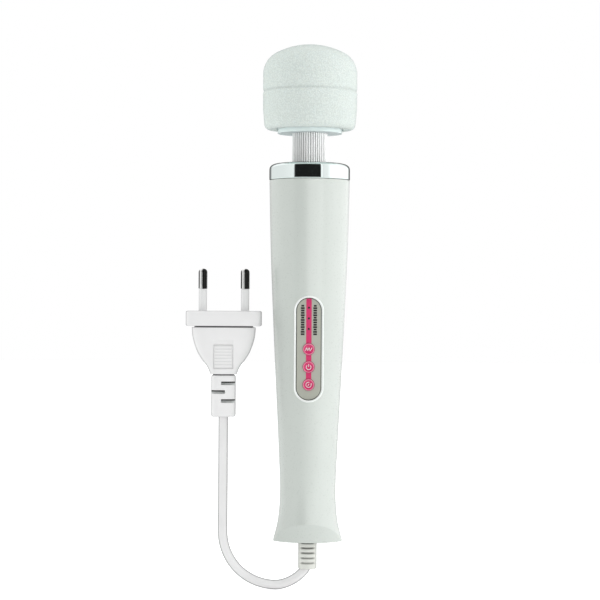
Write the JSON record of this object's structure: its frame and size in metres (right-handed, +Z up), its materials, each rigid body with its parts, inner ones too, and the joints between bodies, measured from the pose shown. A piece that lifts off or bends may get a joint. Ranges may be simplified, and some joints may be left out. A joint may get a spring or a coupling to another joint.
{
  "type": "handheld wand massager",
  "caption": "Corded wand massager: round soft head on a flexible neck, tapered white handle with a button panel, two-pin mains plug on a looped cord.",
  "frame": {"origin": "on the wand's axis at the waist of the handle, where the hand closes round it", "axes": "+Z up the wand's axis towards the head, -Y the front with the buttons, -X the side where the cord loops up"},
  "size_m": [0.0764, 0.0424, 0.245],
  "materials": {
    "shell_white": "pearl white, glossy",
    "soft_white": "matt white soft plastic",
    "steel": "plated steel",
    "chrome": "mirror chrome plating",
    "panel_grey": "satin grey",
    "panel_film": "silver-grey printed film with a pink stripe",
    "black_rubber": "black",
    "button_pink": "gloss pink with white icons",
    "black_plastic": "black",
    "smoked_plastic": "smoked clear",
    "circuit_board": "green solder mask",
    "lamp_white": "clear white",
    "fuse_glass": "clear glass with metal ends",
    "capacitor_sleeve": "dark blue sleeve",
    "wire_sleeve": "insulated wire",
    "ribbon_grey": "grey ribbon",
    "bronze": "bronze",
    "magnet_iron": "ferrite",
    "lamination_steel": "stacked laminations",
    "copper": "enamelled copper",
    "aluminium": "machined",
    "neck_silver": "flexible ribbed sleeve with a metallised finish",
    "spring_steel": "spring wire",
    "head_plastic": "pale grey-white",
    "silicone_white": "pale mint-white silicone with a fine pebbled texture",
    "weight_iron": "sintered iron",
    "cord_white": "white flexible plastic",
    "plug_white": "white moulded plastic",
    "pin_metal": "nickel-plated brass",
    "pin_sleeve_white": "white insulating sleeve"
  },
  "bodies": {
    "handle": {"front_shell": "shell_white", "rear_shell": "shell_white", "case_screws": "steel", "screw_plugs": "soft_white", "chrome_collar": "chrome", "control_panel": "panel_grey", "panel_overlay": "panel_film", "panel_gasket": "black_rubber", "tact_switches": "black_plastic", "light_guides": "smoked_plastic", "control_board": "circuit_board", "control_chip": "black_plastic", "indicator_lamps": "lamp_white", "board_screws": "steel", "power_board": "circuit_board", "fuse": "fuse_glass", "smoothing_capacitor": "capacitor_sleeve", "power_chips": "black_plastic", "supply_wires": "wire_sleeve", "motor_leads": "wire_sleeve", "board_link": "ribbon_grey", "motor_can": "steel", "motor_end_cap": "black_plastic", "motor_bushes": "bronze", "motor_magnets": "magnet_iron", "brush_gear": "bronze", "motor_damper": "black_rubber", "neck_mount": "aluminium", "neck_clamp_ring": "steel", "neck_screws": "steel", "strain_relief": "cord_white"},
    "neck": {"neck_sleeve": "neck_silver", "neck_spring": "spring_steel"},
    "head": {"head_core_base": "head_plastic", "head_core_cap": "head_plastic", "head_cover": "silicone_white", "bearing_bridge": "aluminium", "bridge_screws": "steel", "bearing_outer_races": "steel", "bearing_balls": "steel"},
    "motor_rotor": {"armature_core": "lamination_steel", "armature_windings": "copper", "commutator": "copper", "motor_shaft": "steel", "motor_drive_hub": "bronze", "drive_spring": "spring_steel"},
    "eccentric": {"bearing_inner_races": "steel", "head_drive_hub": "bronze", "eccentric_shaft": "steel", "eccentric_weight": "weight_iron"},
    "wave_button": {"wave_button": "button_pink"},
    "power_button": {"power_button": "button_pink"},
    "speed_button": {"speed_button": "button_pink"},
    "cord": {"mains_cable": "cord_white"},
    "plug": {"plug_boot": "plug_white", "plug_body": "plug_white", "plug_bridge": "plug_white", "plug_wires": "wire_sleeve", "plug_pins": "pin_metal", "pin_sleeves": "pin_sleeve_white"}
  },
  "joints": [
    {"name": "neck_nod", "type": "hinge", "parent": "handle", "child": "neck", "pos_m": [0, 0, 0.1552], "axis": [1, 0, 0], "range_deg": [-15, 15], "stiffness_Nm_per_rad": 0.6, "deforming": ["neck_sleeve", "neck_spring", "drive_spring"]},
    {"name": "neck_sway", "type": "hinge", "parent": "neck", "child": "head", "pos_m": [0, 0, 0.1552], "axis": [0, 1, 0], "range_deg": [-15, 15], "stiffness_Nm_per_rad": 0.6, "deforming": ["neck_sleeve", "neck_spring", "drive_spring"]},
    {"name": "motor_spin", "type": "hinge", "parent": "handle", "child": "motor_rotor", "pos_m": [0, 0, 0.115], "axis": [0, 0, 1], "continuous": true},
    {"name": "eccentric_spin", "type": "hinge", "parent": "head", "child": "eccentric", "pos_m": [0, 0, 0.184], "axis": [0, 0, 1], "continuous": true},
    {"name": "wave_press", "type": "slide", "parent": "handle", "child": "wave_button", "axis": [0, 0.999, 0.0448], "range_m": [0, 0.0006], "stiffness_N_per_m": 1500},
    {"name": "power_press", "type": "slide", "parent": "handle", "child": "power_button", "axis": [0, 0.999, 0.0448], "range_m": [0, 0.0006], "stiffness_N_per_m": 1500},
    {"name": "speed_press", "type": "slide", "parent": "handle", "child": "speed_button", "axis": [0, 0.999, 0.0448], "range_m": [0, 0.0006], "stiffness_N_per_m": 1500},
    {"name": "cord_swing", "type": "hinge", "parent": "handle", "child": "cord", "pos_m": [0, 0, -0.026], "axis": [1, 0, 0], "range_deg": [-30, 30], "stiffness_Nm_per_rad": 0.05, "deforming": ["strain_relief", "supply_wires"]},
    {"name": "plug_bend", "type": "hinge", "parent": "cord", "child": "plug", "pos_m": [-0.0382, 0, 0.044], "axis": [1, 0, 0], "range_deg": [-30, 30], "stiffness_Nm_per_rad": 0.05, "deforming": ["plug_boot", "plug_wires"]}
  ],
  "couplings": [
    {"joint": "eccentric_spin", "follows": "motor_spin", "ratio": 1}
  ]
}
